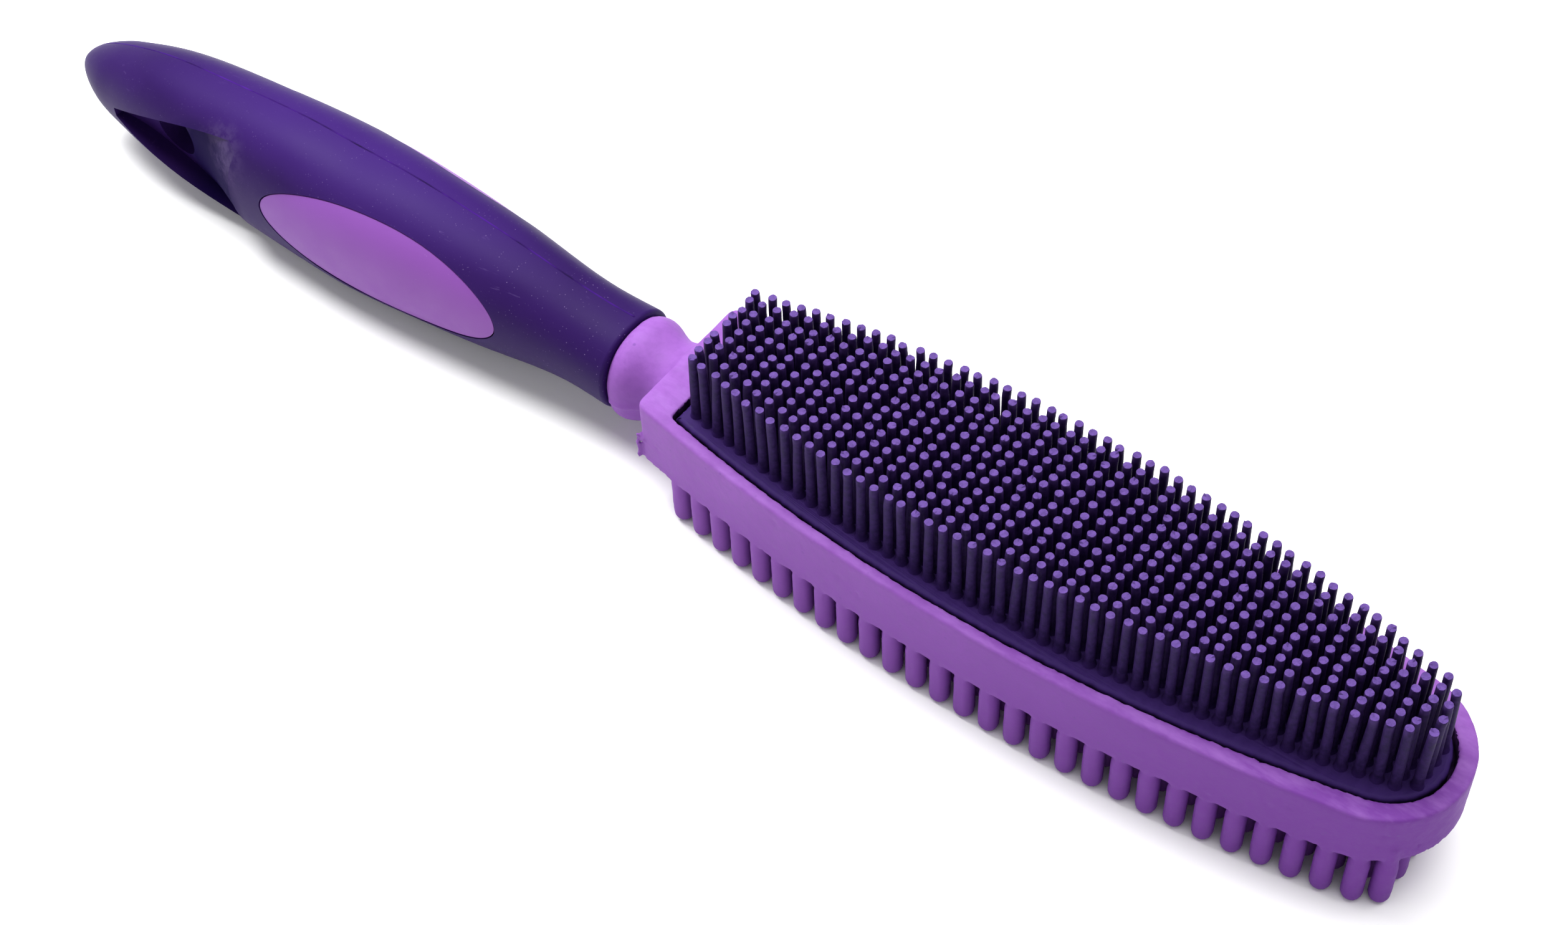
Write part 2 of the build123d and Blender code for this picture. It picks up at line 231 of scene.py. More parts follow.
def violet_rubber():
    """Pad and the sides of the fine pins: dark violet, with painted shade down in the gap round the pad."""
    n = Nodes("violet_rubber")
    mottle = n.noise(1100, 3, 0.6)
    colour = n.mix(n.spread(mottle, 0.35, 0.65), (0.014, 0.0062, 0.042), (0.026, 0.0112, 0.070))
    on_pad = n.spread(n.z, (PAD_TOP_Z + 0.1) * MM, (PAD_TOP_Z + 1.5) * MM, 0.7, 0.0)
    colour = n.mix(on_pad, colour, (0.032, 0.012, 0.100))
    # Painted shade: near black on the pad's sides down in the narrow gap.
    in_shaded_gap = n.spread(n.z, (PAD_TOP_Z - 0.8) * MM, (PAD_TOP_Z - 0.2) * MM, 0.9, 0.0)
    colour = n.mix(in_shaded_gap, colour, (0.006, 0.002, 0.014))
    rubbed = n.spread(n.z, (FINE_PIN_TIP_Z - 2.5) * MM, (FINE_PIN_TIP_Z - 0.6) * MM, 0.0, 0.3)
    rubbed = n.math("MULTIPLY", rubbed, n.spread(n.noise(650, 2, 0.5), 0.35, 0.65))
    colour = n.mix(rubbed, colour, (0.11, 0.055, 0.24))
    return n.finish(colour, n.spread(mottle, 0.3, 0.7, 0.5, 0.66), n.bump(mottle, 0.4, 0.0001), 0.07)


def worn_rubber():
    """The cut ends of the fine pins: paler and rough."""
    n = Nodes("violet_pin_ends")
    mottle = n.noise(900, 4, 0.65)
    colour = n.mix(n.spread(mottle, 0.35, 0.65), (0.070, 0.036, 0.165), (0.105, 0.055, 0.230))
    return n.finish(colour, n.spread(mottle, 0.3, 0.7, 0.6, 0.75), n.bump(mottle, 0.5, 0.0001), 0.08)


def gap_shade_rubber():
    """Inside of the pocket: the same rubber, near black with painted shade of the narrow gap, and with dust
    and old dirt.
    """
    n = Nodes("lilac_rubber_gap_shade")
    dirt_and_shade = n.noise(800, 4, 0.65)
    colour = n.mix(n.spread(dirt_and_shade, 0.4, 0.7), (0.012, 0.004, 0.026), (0.050, 0.018, 0.085))
    return n.finish(colour, n.spread(dirt_and_shade, 0.3, 0.7, 0.7, 0.85), n.bump(dirt_and_shade, 0.4, 0.0001), 0.05)


def soft_touch():
    """Grip: satin violet with a painted highlight on top and painted shade on the recess slope, with dust,
    scratches and a scuffed recess.
    """
    n = Nodes("violet_soft_touch")
    cloud = n.noise(40, 3, 0.5)
    grain = n.noise(3500, 2, 0.5)
    colour = n.mix(n.spread(cloud, 0.3, 0.7), (0.0155, 0.0042, 0.054), (0.021, 0.0060, 0.070))
    scratch_lines = n.noise(160, 3, 0.7, n.stretched((0.5, 3.0, 9.0)), 0.4)
    scratches = n.spread(scratch_lines, 0.66, 0.70, 0.0, 0.30)
    scratches = n.math("MULTIPLY", scratches, n.spread(cloud, 0.4, 0.62))
    colour = n.mix(scratches, colour, (0.10, 0.06, 0.19))
    # Painted light: the top of the grip is brighter, where the light falls.
    painted_top_light = n.spread(n.z, 24 * MM, 28.5 * MM, 0.0, 0.8)
    colour = n.mix(painted_top_light, colour, (0.030, 0.0085, 0.105))
    dusty = n.spread(n.x, -0.10, GRIP_END_X * MM, 0.25, 0.8)
    dust = n.math("MULTIPLY", n.specks(1500, 0.17), n.spread(n.noise(200, 2, 0.5), 0.36, 0.62))
    colour = n.mix(n.math("MULTIPLY", dust, dusty), colour, (0.16, 0.11, 0.25))
    # Painted shade: the recess slope is darkened towards near black.
    shaded = n.spread(n.near(RECESS_SLOPE, RECESS_SLOPE_REACH), 0.0, 0.35, 0.0, 0.95)
    colour = n.mix(shaded, colour, (0.005, 0.001, 0.034))
    rubbed = n.spread(n.noise(500, 4, 0.7), 0.4, 0.6)
    scuffed = n.math("MULTIPLY", n.near(SCUFF_PLACE, SCUFF_REACH), rubbed)
    colour = n.mix(n.math("MULTIPLY", scuffed, 0.6), colour, (0.085, 0.06, 0.14))
    roughness = n.spread(cloud, 0.3, 0.7, 0.44, 0.54)
    roughness = n.math("ADD", roughness, n.math("MULTIPLY", scuffed, 0.25))
    roughness = n.math("ADD", roughness, n.math("MULTIPLY", shaded, 0.4))
    return n.finish(colour, roughness, n.bump(grain, 0.12, 0.00004), 0.05)


def parting_rubber():
    """The fine moulded line along the grip: dark, with a painted highlight in bright violet that comes and
    goes along it.
    """
    n = Nodes("violet_parting_line")
    broken_highlight = n.noise(400, 3, 0.6, n.stretched((0.3, 1.0, 1.0)))
    # Painted highlight: bright violet patches along the bead stand in for its highlight.
    colour = n.mix(n.spread(broken_highlight, 0.35, 0.65), (0.010, 0.003, 0.036), (0.040, 0.008, 0.150))
    return n.finish(colour, n.spread(broken_highlight, 0.3, 0.7, 0.6, 0.75), n.bump(broken_highlight, 0.2, 0.00005), 0.03)


def inlay_plastic():
    """Oval plates: smooth lilac, a little redder towards the head."""
    n = Nodes("lilac_inlay")
    cloud = n.noise(40, 3, 0.5)
    colour = n.mix(n.spread(cloud, 0.35, 0.65), (0.158, 0.050, 0.262), (0.174, 0.056, 0.286))
    colour = n.mix(n.spread(n.x, -0.085, -0.035, 0.0, 0.35), colour, (0.184, 0.053, 0.262))
    dust = n.math("MULTIPLY", n.specks(1300, 0.10), n.spread(n.noise(260, 1, 0.5), 0.55, 0.62, 0.0, 0.6))
    colour = n.mix(dust, colour, (0.32, 0.19, 0.44))
    roughness = n.spread(n.noise(220, 3, 0.6), 0.3, 0.7, 0.42, 0.52)
    return n.finish(colour, roughness, n.bump(n.noise(3000, 2, 0.5), 0.1, 0.00004), 0.12)


def core_plastic():
    """Inner frame: plain lilac plastic with a faint mottle."""
    n = Nodes("core_plastic")
    cloud = n.noise(300, 3, 0.5)
    colour = n.mix(cloud, (0.25, 0.16, 0.36), (0.3, 0.2, 0.42))
    return n.finish(colour, n.spread(cloud, 0.3, 0.7, 0.45, 0.55), n.bump(cloud, 0.1, 0.00005), 0.4)


def repaint(node, material):
    """Gives a CAD node's own material slots a better material."""
    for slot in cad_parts[node].material_slots:
        slot.link = "OBJECT"
        slot.material = material


# ---- Mesh helpers ----------------------------------------------------------------


def new_piece(name, mesh, material):
    """Object from a mesh in metres, riding on the brush's one body."""
    mesh.materials.clear()
    mesh.materials.append(material)
    piece = bpy.data.objects.new(name, mesh)
    bpy.context.scene.collection.objects.link(piece)
    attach(piece, "root")
    return piece


def mesh_from(name, points, faces):
    """Mesh in metres from points in millimetres."""
    mesh = bpy.data.meshes.new(name)
    mesh.from_pydata([tuple(point) for point in np.asarray(points) * MM], [], faces)
    mesh.update()
    return mesh


def ring_faces(start, rings, segments):
    """Quads between rings of points, each ring closed on itself."""
    faces = []
    for ring in range(rings - 1):
        for segment in range(segments):
            near = start + ring * segments
            after = (segment + 1) % segments
            faces.append((near + segment, near + after, near + segments + after, near + segments + segment))
    return faces


def closed_faces(rings, segments):
    """Faces of a tube of rings, with both its ends closed."""
    last = (rings - 1) * segments
    ends = [tuple(range(segments - 1, -1, -1)), tuple(range(last, last + segments))]
    return ring_faces(0, rings, segments) + ends


def rows_of(mesh, what="co"):
    """A mesh's points in metres, or its vertex normals, one row each."""
    rows = np.empty(len(mesh.vertices) * 3)
    mesh.vertices.foreach_get(what, rows)
    return rows.reshape(-1, 3)


def make_smooth(mesh):
    mesh.polygons.foreach_set("use_smooth", np.ones(len(mesh.polygons), dtype=bool))


def noise_at(points, scale, depth=0):
    """Noise between about -1 and 1 at each point; scale is in waves per millimetre."""
    if depth:
        return np.array([noise.fractal(Vector(p) * scale, 0.8, 2.0, depth) for p in points])
    return np.array([noise.noise(Vector(p) * scale) for p in points])


# ---- Fine pin pad --------------------------------------------------------------


def tip_circle(tip, half_width, bulge, side_radius):
    """Radius and centre of the tip's arc, and where it meets the side arcs."""
    side_centre_y = half_width - side_radius
    reach = tip - (REAR_X + bulge)
    radius = (side_radius**2 - reach**2 - side_centre_y**2) / (2 * (side_radius - reach))
    lean = math.atan2(-side_centre_y, reach - radius)
    return radius, tip - radius, lean


def half_width_at(x, tip, half_width, bulge, side_radius):
    """Half width of a leaf-shaped outline at x."""
    radius, centre_x, lean = tip_circle(tip, half_width, bulge, side_radius)
    if x > centre_x + radius * math.cos(lean):
        return math.sqrt(max(0.0, radius**2 - (x - centre_x) ** 2))
    return half_width - side_radius + math.sqrt(side_radius**2 - (x - REAR_X - bulge) ** 2)


def leaf_outline(rear, tip, half_width, bulge, side_radius, spacing):
    """Points round a leaf-shaped outline, anticlockwise from the rear right corner."""
    radius, centre_x, lean = tip_circle(tip, half_width, bulge, side_radius)
    joint_x = centre_x + radius * math.cos(lean)
    side_xs = np.linspace(rear, joint_x, int((joint_x - rear) / spacing))
    sides = [(x, half_width_at(x, tip, half_width, bulge, side_radius)) for x in side_xs]
    turns = np.linspace(-lean, lean, int(2 * lean * radius / spacing))[1:-1]
    nose = [(centre_x + radius * math.cos(turn), radius * math.sin(turn)) for turn in turns]
    rear_y = sides[0][1]
    back = [(rear, y) for y in np.linspace(rear_y, -rear_y, int(2 * rear_y / spacing))[1:-1]]
    right = [(x, -y) for x, y in sides]
    return np.array(right + nose + sides[::-1] + back)


PAD_RINGS = [(0.2, POCKET_DEPTH - PAD_SUNK), (0.2, 0.75), (0.32, 0.35), (0.55, 0.1), (1.0, 0.0)]
PAD_RAGGED = 0.14            # how far its moulded edge wanders
PAD_UNEVEN = 0.08            # how far its top rises and falls
PAD_SPACING = 0.5            # between the points of its outline


def pad_body():
    """Thin pad; PAD_RINGS gives how far each ring is drawn in and lies below the top."""
    outline = leaf_outline(
        REAR_X + POCKET_REAR_WALL + PAD_CLEARANCE,
        TIP_X - POCKET_TIP_WALL - PAD_CLEARANCE,
        POCKET_HALF_WIDTH - PAD_CLEARANCE,
        POCKET_BULGE_X,
        POCKET_SIDE_RADIUS,
        PAD_SPACING,
    )
    along = np.roll(outline, -1, axis=0) - np.roll(outline, 1, axis=0)
    along /= np.linalg.norm(along, axis=1)[:, None]
    inward = np.column_stack([-along[:, 1], along[:, 0]])
    raised = np.column_stack([outline, np.full(len(outline), PAD_TOP_Z)])
    ragged = PAD_RAGGED * noise_at(raised, 0.9, 3)
    points = []
    for drawn_in, below in PAD_RINGS:
        place = outline + inward * (drawn_in + ragged)[:, None]
        height = PAD_TOP_Z - below + (PAD_UNEVEN * noise_at(raised, 0.5) if below < 1 else 0)
        points.append(np.column_stack([place, np.broadcast_to(height, len(place))]))
    count = len(outline)
    faces = ring_faces(0, len(PAD_RINGS), count)
    top = len(PAD_RINGS) - 1
    faces.append(tuple(range(top * count, (top + 1) * count)))
    faces.append(tuple(range(count - 1, -1, -1)))
    return np.vstack(points), faces


# Radius of a fine pin by its share of the pin's length, from inside the pad to its end
PIN_PROFILE = [
    (-0.05, 1.20),
    (0.0, 1.12),
    (0.03, 0.96),
    (0.09, 0.86),
    (0.45, 0.80),
    (0.85, 0.74),
    (0.985, 0.73),
    (1.0, 0.68),
]
PIN_SEGMENTS = 14
PIN_LENGTH_SPREAD = 0.22
PIN_LEAN = 0.15              # usual sideways shift of a pin's end
PIN_FLASH_SHARE = 0.28       # how many pins end in a small torn point
PIN_FLASH_HEIGHT = 0.38
PIN_FLASH_TORN = (0.5, 0.85)       # how much of that height a torn point has
PIN_WAVE = 0.07
PIN_GIRTH_SPREAD = 0.02
PIN_END_EDGE = (-0.10, 0.06)
PIN_END_MIDDLE = (-0.12, 0.08)
FIELD_BLUNTNESS = 2.6        # 2 would be a round end to the pin field
ROW_BOW = 0.5                # how far the middle of the rows bows to the left
ROW_DRIFT = 0.4              # how far it lies to the right at the rear


def row_places(x, reach, pitch):
    """Pin centres of one row across the head, evenly spread between -reach and reach."""
    count = round(2 * reach / pitch) + 1
    if count < 2:
        return [(x, 0.0)]
    return [(x, reach * (2 * place / (count - 1) - 1)) for place in range(count)]


def fine_field_reach(x):
    """Half width of the pin field at x; the rows at the tip fill it out a little."""
    tip = TIP_X - FINE_FIELD_TIP_GAP
    radius, centre_x, lean = tip_circle(
        tip, FINE_FIELD_HALF_WIDTH, POCKET_BULGE_X, FINE_FIELD_SIDE_RADIUS
    )
    ahead = (x - centre_x) / radius
    if ahead > math.cos(lean):
        round_off = max(0.0, 1 - ahead**FIELD_BLUNTNESS) ** (1 / FIELD_BLUNTNESS)
        return max(round_off * radius, FINE_ROW_PITCH)
    return half_width_at(x, tip, FINE_FIELD_HALF_WIDTH, POCKET_BULGE_X, FINE_FIELD_SIDE_RADIUS)


def fine_pin_places():
    """Pin centres; the middle of the rows wanders a little along the head."""
    places = []
    for row in range(FINE_ROWS):
        share = row / (FINE_ROWS - 1)
        x = REAR_X + FINE_FIRST_X + row * FINE_PITCH
        middle = ROW_BOW * math.sin(math.pi * share) - ROW_DRIFT * (1 - share)
        for x, y in row_places(x, fine_field_reach(x), FINE_ROW_PITCH):
            places.append((x, y + middle))
    return places


def one_pin(x, y, chance):
    """Points of one slightly bent pin, ring by ring, and last the middle of its end."""
    turn = chance.uniform(0, 2 * math.pi)
    flash = chance.random() < PIN_FLASH_SHARE
    end_z = FINE_PIN_TIP_Z - PIN_FLASH_HEIGHT - chance.uniform(0, PIN_LENGTH_SPREAD)
    length = end_z - PAD_TOP_Z
    lean = np.array([chance.gauss(0, PIN_LEAN), chance.gauss(0, PIN_LEAN)])
    wave = np.array([chance.gauss(0, PIN_WAVE), chance.gauss(0, PIN_WAVE)])
    angles = turn + np.arange(PIN_SEGMENTS) * 2 * math.pi / PIN_SEGMENTS
    circle = np.column_stack([np.cos(angles), np.sin(angles)])
    rings = []
    for share, radius in PIN_PROFILE:
        shift = lean * max(share, 0) ** 1.6 + wave * math.sin(max(share, 0) * 2 * math.pi)
        ring = circle * radius * (1 + PIN_GIRTH_SPREAD * chance.gauss(0, 1)) + (x, y) + shift
        height = np.full(PIN_SEGMENTS, PAD_TOP_Z + share * length)
        if share > 0.99:
            height += [chance.uniform(*PIN_END_EDGE) for _ in range(PIN_SEGMENTS)]
            if flash:
                torn = chance.randrange(PIN_SEGMENTS)
                height[torn] += PIN_FLASH_HEIGHT * chance.uniform(*PIN_FLASH_TORN)
        rings.append(np.column_stack([ring, height]))
    end = rings[-1].mean(axis=0) + (0, 0, chance.uniform(*PIN_END_MIDDLE))
    return np.vstack(rings + [end])


def fine_pins():
    """Pad with all its pins, worn and slightly uneven, in one piece."""
    chance = random.Random(SEED)
    points, faces = pad_body()
    blocks = [points]
    start = len(points)
    rings = len(PIN_PROFILE)
    for x, y in fine_pin_places():
        pin = one_pin(x, y, chance)
        faces.extend(ring_faces(start, rings, PIN_SEGMENTS))
        last = start + (rings - 1) * PIN_SEGMENTS
        for segment in range(PIN_SEGMENTS):
            faces.append((last + segment, last + (segment + 1) % PIN_SEGMENTS, start + len(pin) - 1))
        faces.append(tuple(range(start + PIN_SEGMENTS - 1, start - 1, -1)))
        blocks.append(pin)
        start += len(pin)
    mesh = mesh_from("fine_pins", np.vstack(blocks), faces)
    smooth = np.array([len(face) == 4 for face in faces])
    mesh.polygons.foreach_set("use_smooth", smooth)
    piece = new_piece("fine_pin_field", mesh, violet_rubber())
    mesh.materials.append(worn_rubber())
    pin_ends = np.array([len(face) == 3 for face in faces], dtype=int)
    mesh.polygons.foreach_set("material_index", pin_ends)
    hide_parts("fine_pin_pad")


# ---- Head frame ------------------------------------------------------------------

HEAD_VOXEL = 0.34
HEAD_SMOOTHING = 3
HEAD_FACES = 195_000         # triangles kept in the head's mesh; triangles kept, so that one exported piece stays under 200 000
WELD_REACH = 0.000002        # metres
UNEVEN = [(0.05, 0.35), (0.03, 1.3)]      # depth and waves per millimetre
LIP_REACH = 0.5              # how far the pocket's edge reaches to each side
LIP_DEPTH = 0.7
LIP_WEAR = (0.10, 0.22)      # at the rear, and how much more at the tip
NICKS = 70
NICK_REACH = (0.35, 0.9)
NICK_DEPTH = (0.08, 0.24)
NICKS_ABOVE_Z = 12
PIN_SWELL = 0.24             # gives back the girth that softening takes from the thick pins
PIN_ROOT_Z = 11.0
GAP_REACH = 0.25
NECK_LINE_Z = 12.5
NECK_LINE_RISE = 2.8
NECK_LINE_RADIUS = 0.42
NECK_LINE_START = 0.6        # from the end of the grip
NECK_LINE_RUN = NECK_LENGTH + 1.0
NECK_LINE_STEPS = 24
RAY_START = 40               # how far outside the brush a ray starts
FLASH_Y = -13.4              # the torn bit of flash on the frame's rear corner
FLASH_LOW_Z = 9.9
FLASH_HIGH_Z = 15.8
FLASH_RADIUS = 0.34
FLASH_WANDER = [(0.15, 1.3), (0.08, 3.1)]      # size and turns of each wave
FLASH_STEPS = 20
TUBE_SEGMENTS = 8


def tube(points, radius):
    """Closed round tube through points in millimetres."""
    points = np.asarray(points, dtype=float)
    along = np.gradient(points, axis=0)
    rings = []
    for point, direction in zip(points, along):
        frame_turn = Vector(direction).to_track_quat("Z", "Y").to_matrix()
        for segment in range(TUBE_SEGMENTS):
            angle = 2 * math.pi * segment / TUBE_SEGMENTS
            offset = frame_turn @ Vector((math.cos(angle), math.sin(angle), 0)) * radius
            rings.append(point + np.array(offset))
    return np.array(rings), closed_faces(len(points), TUBE_SEGMENTS)


def tree_of(node):
    """A CAD node's surface, for finding places on it."""
    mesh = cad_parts[node].data
    points = [vertex.co for vertex in mesh.vertices]
    return BVHTree.FromPolygons(points, [tuple(face.vertices) for face in mesh.polygons])


def neck_lines(surface):
    """Mould line along each side of the neck and on across the frame's rear face."""
    pieces = []
    for side in (-1, 1):
        points = []
        for share in np.linspace(0, 1, NECK_LINE_STEPS):
            x = GRIP_END_X + NECK_LINE_START + share * NECK_LINE_RUN
            z = NECK_LINE_Z + NECK_LINE_RISE * share**2
            hit = surface.ray_cast(Vector((x, side * RAY_START, z)) * MM, Vector((0, -side, 0)))[0]
            if hit is not None:
                points.append(np.array(hit) / MM)
        pieces.append(tube(points, NECK_LINE_RADIUS))
    return pieces


def corner_flash():
    """Uneven sliver that stands off the lower half of the frame's rear corner."""
    heights = np.linspace(FLASH_LOW_Z, FLASH_HIGH_Z, FLASH_STEPS)
    away = sum(size * np.sin(heights * turns) for size, turns in FLASH_WANDER)
    points = np.column_stack([REAR_X - np.abs(away), FLASH_Y + 0.4 * away, heights])
    return tube(points, FLASH_RADIUS)


def head():
    """The moulded head, remeshed so that its walls flow into the pins, then worn."""
    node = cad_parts["head_frame"]
    shell = bmesh.new()
    shell.from_mesh(node.data)
    bmesh.ops.remove_doubles(shell, verts=shell.verts, dist=WELD_REACH)
    for points, faces in neck_lines(tree_of("head_frame")) + [corner_flash()]:
        vertices = [shell.verts.new(Vector(point) * MM) for point in points]
        for face in faces:
            shell.faces.new([vertices[index] for index in face])
    mesh = bpy.data.meshes.new("head")
    shell.to_mesh(mesh)
    shell.free()
    piece = new_piece("head_moulding", mesh, lilac_rubber())
    remesh = piece.modifiers.new("flow", "REMESH")
    remesh.mode = "VOXEL"
    remesh.voxel_size = HEAD_VOXEL * MM
    soften = piece.modifiers.new("soften", "SMOOTH")
    soften.factor = 0.5
    soften.iterations = HEAD_SMOOTHING
    apply_modifiers(piece)
    wear_head(piece.data)
    thin = piece.modifiers.new("thin", "DECIMATE")
    piece.data.calc_loop_triangles()
    thin.ratio = min(1.0, HEAD_FACES / len(piece.data.loop_triangles))
    apply_modifiers(piece)
    keep_inside(piece.data, "head_frame")
    # Faces inside the pocket get the near-black gap material: painted shade, with dust and dirt.
    piece.data.materials.append(gap_shade_rubber())
    centres = np.empty(len(piece.data.polygons) * 3)
    piece.data.polygons.foreach_get("center", centres)
    in_shaded_gap = inside_pocket(centres.reshape(-1, 3) / MM)
    piece.data.polygons.foreach_set("material_index", in_shaded_gap.astype(int))
    make_smooth(piece.data)
    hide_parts("head_frame")


def apply_modifiers(piece):
    """Puts the result of a piece's modifiers into its mesh."""
    graph = bpy.context.evaluated_depsgraph_get()
    made = bpy.data.meshes.new_from_object(piece.evaluated_get(graph))
    piece.modifiers.clear()
    piece.data = made


def wear_head(mesh):
    """Uneven moulding, a ragged pocket edge and small nicks."""
    points = rows_of(mesh) / MM
    normals = rows_of(mesh, "normal")
    uneven = sum(depth * noise_at(points, scale) for depth, scale in UNEVEN)
    swell = PIN_SWELL * np.clip((PIN_ROOT_Z - points[:, 2]) / 2, 0, 1)
    points += normals * (uneven + swell)[:, None]
    lip = pocket_lip(points)
    if lip.any():
        edge = points[lip]
        towards_tip = np.clip((edge[:, 0] - REAR_X) / HEAD_LENGTH, 0, 1)
        wear = LIP_WEAR[0] + LIP_WEAR[1] * towards_tip
        edge[:, 2] -= wear * np.maximum(0, noise_at(edge, 1.1) + 0.15)
        points[lip] = edge
    chance = random.Random(SEED + 1)
    upright = np.abs(normals[:, 2]) < 0.95
    outer = np.flatnonzero((points[:, 2] > NICKS_ABOVE_Z) & upright & ~lip)
    for _ in range(NICKS):
        middle = points[outer[chance.randrange(len(outer))]]
        reach = chance.uniform(*NICK_REACH)
        distance = np.linalg.norm(points - middle, axis=1)
        near = distance < reach
        fall = (1 - (distance[near] / reach) ** 2) ** 2
        points[near] -= normals[near] * (fall * chance.uniform(*NICK_DEPTH))[:, None]
    mesh.vertices.foreach_set("co", (points * MM).ravel())
    mesh.update()


def keep_inside(mesh, node):
    """Holds a mesh inside the box of the CAD node that it stands for."""
    low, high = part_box(node)
    points = np.clip(rows_of(mesh), low, high)
    mesh.vertices.foreach_set("co", points.ravel())
    mesh.update()


def pocket_edge(points):
    """Half width of the pocket at each point's place along the head."""
    tip = TIP_X - POCKET_TIP_WALL
    return np.array(
        [
            half_width_at(min(x, tip), tip, POCKET_HALF_WIDTH, POCKET_BULGE_X, POCKET_SIDE_RADIUS)
            for x in points[:, 0]
        ]
    )


def pocket_lip(points):
    """The vertices on the top inner edge of the pocket."""
    beside = np.abs(np.abs(points[:, 1]) - pocket_edge(points)) < LIP_REACH
    ahead = points[:, 0] > REAR_X + POCKET_REAR_WALL - LIP_REACH
    return beside & ahead & (points[:, 2] > RIM_Z - LIP_DEPTH)


def inside_pocket(points):
    """The places on the pocket's walls and floor, short of its top edge."""
    within = np.abs(points[:, 1]) < pocket_edge(points) + GAP_REACH
    ahead = points[:, 0] > REAR_X + POCKET_REAR_WALL - GAP_REACH
    behind = points[:, 0] < TIP_X - POCKET_TIP_WALL + GAP_REACH
    deep = (points[:, 2] < RIM_Z - GAP_REACH) & (points[:, 2] > RIM_Z - POCKET_DEPTH - GAP_REACH)
    return within & ahead & behind & deep


# ---- Grip --------------------------------------------------------------------------

PARTING_Y = 1.8
PARTING_HALF_WIDTH = 0.17
PARTING_PROUD = 0.03
PARTING_SUNK = 0.12
PARTING_STEP = 0.8
NOSE_LENGTH = 5              # the line turns round the end of the grip over this length
NOSE_STEPS = 40
ABOVE_Z = 60
BELOW_Z = -40


def parting_line():
    """Thin moulded bead round the grip, just left of its middle."""
    surface = tree_of("grip_sleeve")
    hits = []

    def cast(start, direction):
        place, normal = surface.ray_cast(Vector(start) * MM, Vector(direction).normalized())[:2]
        if place is not None:
            hits.append((np.array(place) / MM, np.array(normal)))

    nose_x = -OVERALL_LENGTH / 2 + NOSE_LENGTH
    for x in np.arange(GRIP_END_X - 1, nose_x, -PARTING_STEP):
        cast((x, PARTING_Y, ABOVE_Z), (0, 0, -1))
    for angle in np.linspace(math.radians(95), math.radians(265), NOSE_STEPS):
        out_x, out_z = math.cos(angle), math.sin(angle)
        start = (nose_x + RAY_START * out_x, PARTING_Y, GRIP_AXIS_Z + RAY_START * out_z)
        cast(start, (-out_x, 0, -out_z))
    for x in np.arange(nose_x, GRIP_END_X - 1, PARTING_STEP):
        cast((x, PARTING_Y, BELOW_Z), (0, 0, 1))
    section = [
        (-PARTING_HALF_WIDTH, -PARTING_SUNK),
        (-PARTING_HALF_WIDTH, 0.0),
        (-PARTING_HALF_WIDTH / 2, PARTING_PROUD),
        (PARTING_HALF_WIDTH / 2, PARTING_PROUD),
        (PARTING_HALF_WIDTH, 0.0),
        (PARTING_HALF_WIDTH, -PARTING_SUNK),
    ]
    points = []
    for place, normal in hits:
        across = np.array((0.0, 1.0, 0.0))
        across -= normal * across.dot(normal)
        across /= np.linalg.norm(across)
        points.extend(place + across * side + normal * rise for side, rise in section)
    mesh = mesh_from("parting_line", points, closed_faces(len(hits), len(section)))
    keep_inside(mesh, "grip_sleeve")
    make_smooth(mesh)
    new_piece("grip_parting_line", mesh, parting_rubber())


# ---- Camera, lights and floor --------------------------------------------------

CAMERA_PLACE = Vector((189.98, -204.45, 333.84)) * MM
CAMERA_DOWN = 0.886904
CAMERA_ROLL = -0.055992
CAMERA_YAW = 0.688767
CAMERA_LENS = 57.65
LIGHTS_AIM = (0, 0, 0.02)    # metres, as all the lights' places and sizes are
FLOOR_REACH = 4000.0


def place_camera():
    """Camera at the photograph's angle, turned by its yaw, downward tilt and roll."""
    down_cos, down_sin = math.cos(CAMERA_DOWN), math.sin(CAMERA_DOWN)
    yaw_cos, yaw_sin = math.cos(CAMERA_YAW), math.sin(CAMERA_YAW)
    forward = Vector((-yaw_sin * down_cos, yaw_cos * down_cos, -down_sin))
    right = Vector((yaw_cos, yaw_sin, 0))
    down = forward.cross(right)
    roll_cos, roll_sin = math.cos(CAMERA_ROLL), math.sin(CAMERA_ROLL)
    x_axis = right * roll_cos - down * roll_sin
    y_axis = -(right * roll_sin + down * roll_cos)
    data = bpy.data.cameras.new("photo_view")
    data.sensor_width = 36.0
    data.lens = CAMERA_LENS
    data.clip_start, data.clip_end = 0.01, 20.0
    camera = bpy.data.objects.new("photo_view", data)
    turn = Matrix((x_axis, y_axis, -forward)).transposed().to_4x4()
    camera.matrix_world = Matrix.Translation(CAMERA_PLACE) @ turn
    bpy.context.scene.collection.objects.link(camera)
    bpy.context.scene.camera = camera


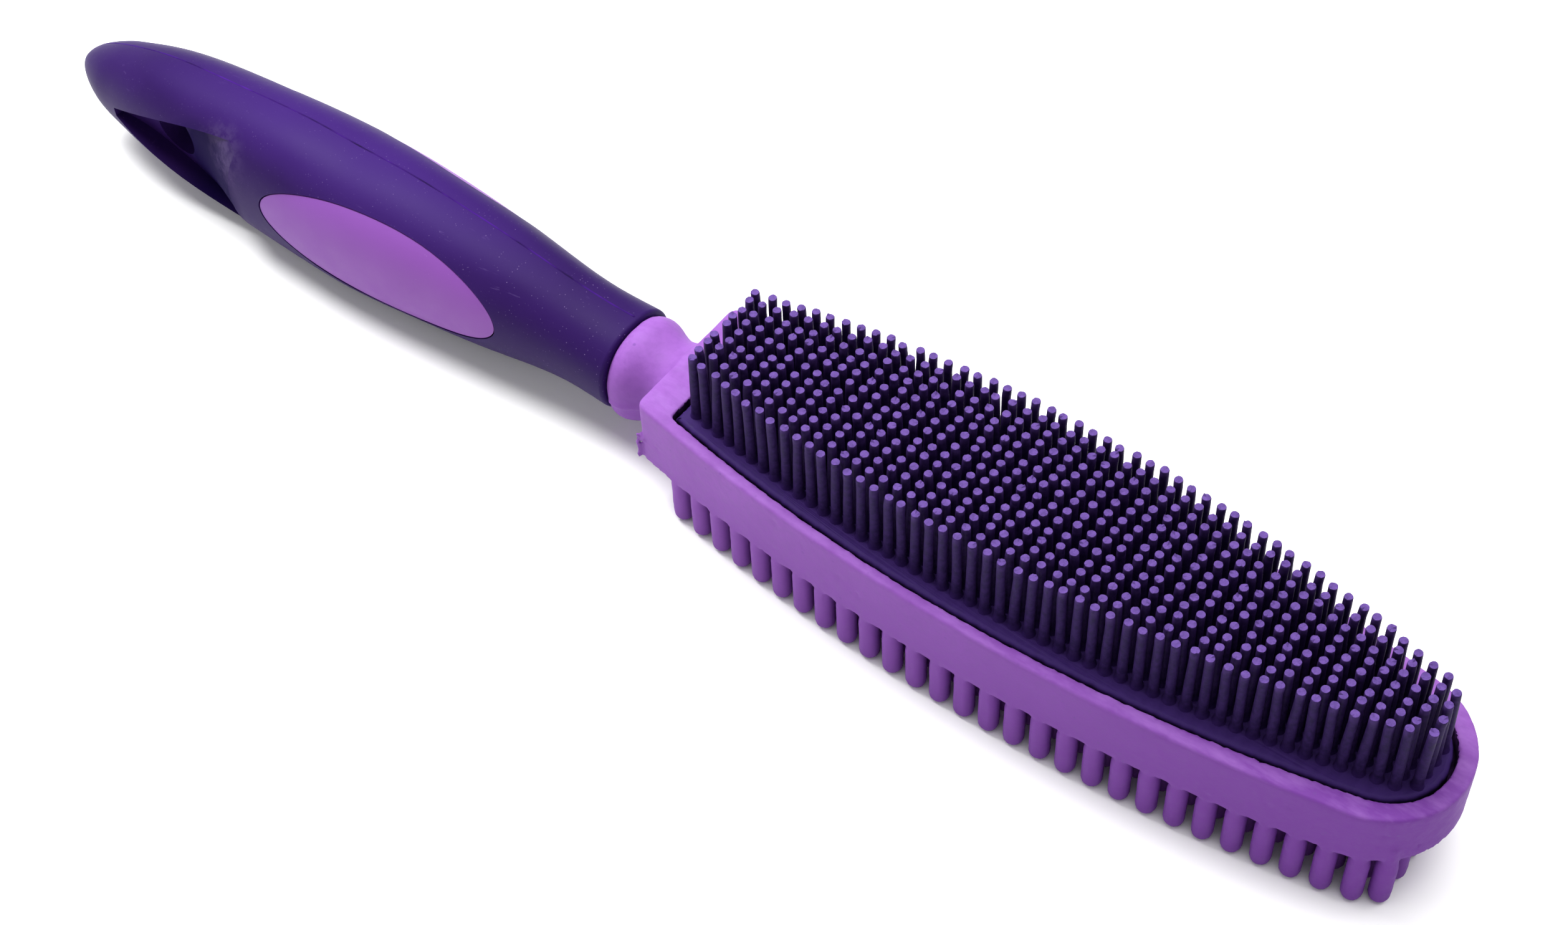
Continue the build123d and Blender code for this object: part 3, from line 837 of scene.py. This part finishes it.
def aimed_light(kind, name, place, power):
    """Light of a kind, pointed at the middle of the brush."""
    data = bpy.data.lights.new(name, kind)
    data.energy = power
    light = bpy.data.objects.new(name, data)
    light.location = place
    light.rotation_mode = "QUATERNION"
    light.rotation_quaternion = (Vector(LIGHTS_AIM) - Vector(place)).to_track_quat("-Z", "Y")
    bpy.context.scene.collection.objects.link(light)
    return data


def area_light(name, place, size, power):
    data = aimed_light("AREA", name, place, power)
    data.shape = "DISK"
    data.size = size


def soft_sun(name, place, spread_degrees, strength):
    """Light like a wide softbox, which lights the whole floor evenly."""
    data = aimed_light("SUN", name, place, strength)
    data.angle = math.radians(spread_degrees)


def light_studio():
    world = bpy.data.worlds.new("studio")
    world.use_nodes = True
    background = world.node_tree.nodes["Background"]
    background.inputs["Color"].default_value = (1, 1, 1, 1)
    background.inputs["Strength"].default_value = 0.46
    bpy.context.scene.world = world
    area_light("key", (-0.32, 0.04, 0.5), 0.35, 4.2)
    soft_sun("top", (0.0, 0.26, 0.9), 60, 3.3)
    area_light("fill", (-0.7, -0.6, 0.45), 0.6, 1.3)
    bpy.context.scene.view_settings.view_transform = "Standard"


def lay_floor():
    reach = FLOOR_REACH
    corners = [(-reach, -reach, 0), (reach, -reach, 0), (reach, reach, 0), (-reach, reach, 0)]
    mesh = mesh_from("floor", corners, [(0, 1, 2, 3)])
    floor = bpy.data.objects.new("floor", mesh)
    bpy.context.scene.collection.objects.link(floor)
    n = Nodes("pale_floor")
    soft = n.noise(20, 2, 0.5)
    colour = n.mix(soft, (0.92, 0.92, 0.92), (0.94, 0.94, 0.94))
    roughness = n.spread(soft, 0.3, 0.7, 0.88, 0.92)
    mesh.materials.append(n.finish(colour, roughness, n.bump(soft, 0.05, 0.0001), 0.2))


place_camera()
light_studio()
lay_floor()

repaint("stiffening_core", core_plastic())
repaint("grip_sleeve", soft_touch())
inlay = inlay_plastic()
repaint("oval_inlay_left", inlay)
repaint("oval_inlay_right", inlay)
parting_line()
fine_pins()
head()
